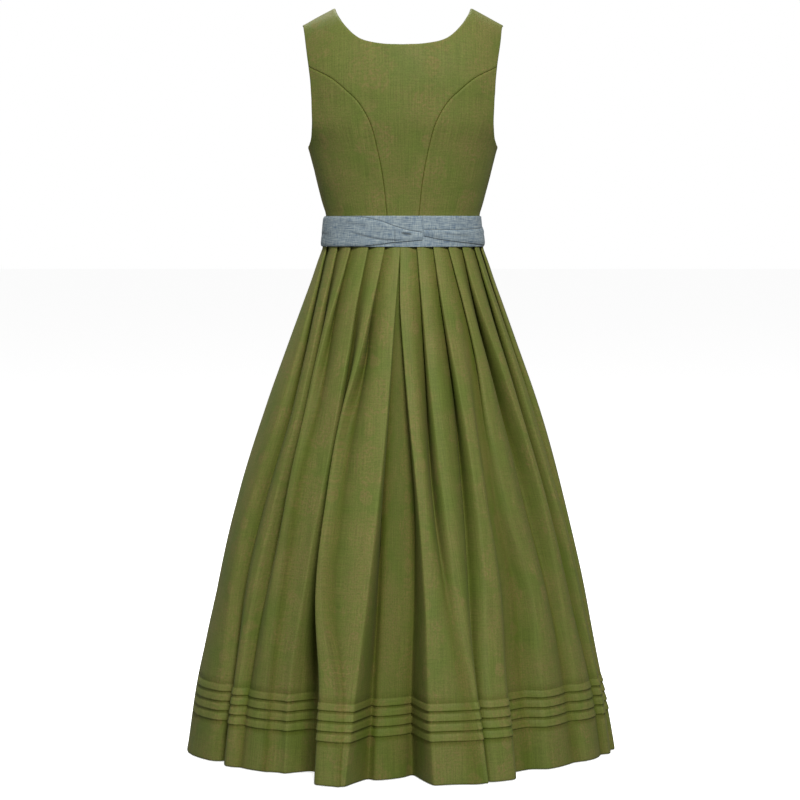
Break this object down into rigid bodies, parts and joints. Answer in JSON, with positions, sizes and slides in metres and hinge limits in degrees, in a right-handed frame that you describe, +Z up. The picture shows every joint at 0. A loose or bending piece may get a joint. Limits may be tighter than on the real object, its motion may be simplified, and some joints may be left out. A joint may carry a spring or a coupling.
{
  "type": "dirndl",
  "caption": "Sleeveless long dirndl in worn, hollow form: princess-seamed bodice, knife-pleated skirt with tucks above the hem, apron with crossed ties.",
  "frame": {"origin": "midway between the tops of the shoulders, where the wearer holds the garment up", "axes": "+Z up, +Y the way the wearer faces, so the pictured back faces -Y, +X to the wearer's right"},
  "size_m": [0.7556, 0.6379, 1.2979],
  "materials": {
    "green_jacquard": "soft two-tone jacquard",
    "blue_grey_linen": "plain matt weave",
    "horn_button": "satin"
  },
  "bodies": {
    "root": {"apron": "blue_grey_linen", "apron_waistband": "blue_grey_linen", "bodice_back_centre": "green_jacquard", "bodice_back_side_left": "green_jacquard", "bodice_back_side_right": "green_jacquard", "bodice_front_centre_left": "green_jacquard", "bodice_front_centre_right": "green_jacquard", "bodice_front_side_left": "green_jacquard", "bodice_front_side_right": "green_jacquard", "skirt_back": "green_jacquard", "skirt_front": "green_jacquard", "tie_end_left": "blue_grey_linen", "tie_end_right": "blue_grey_linen", "tie_knot": "blue_grey_linen", "tie_left": "blue_grey_linen", "tie_right": "blue_grey_linen", "button_1": "horn_button", "button_2": "horn_button", "button_3": "horn_button", "button_4": "horn_button", "button_5": "horn_button", "button_6": "horn_button"}
  },
  "joints": []
}
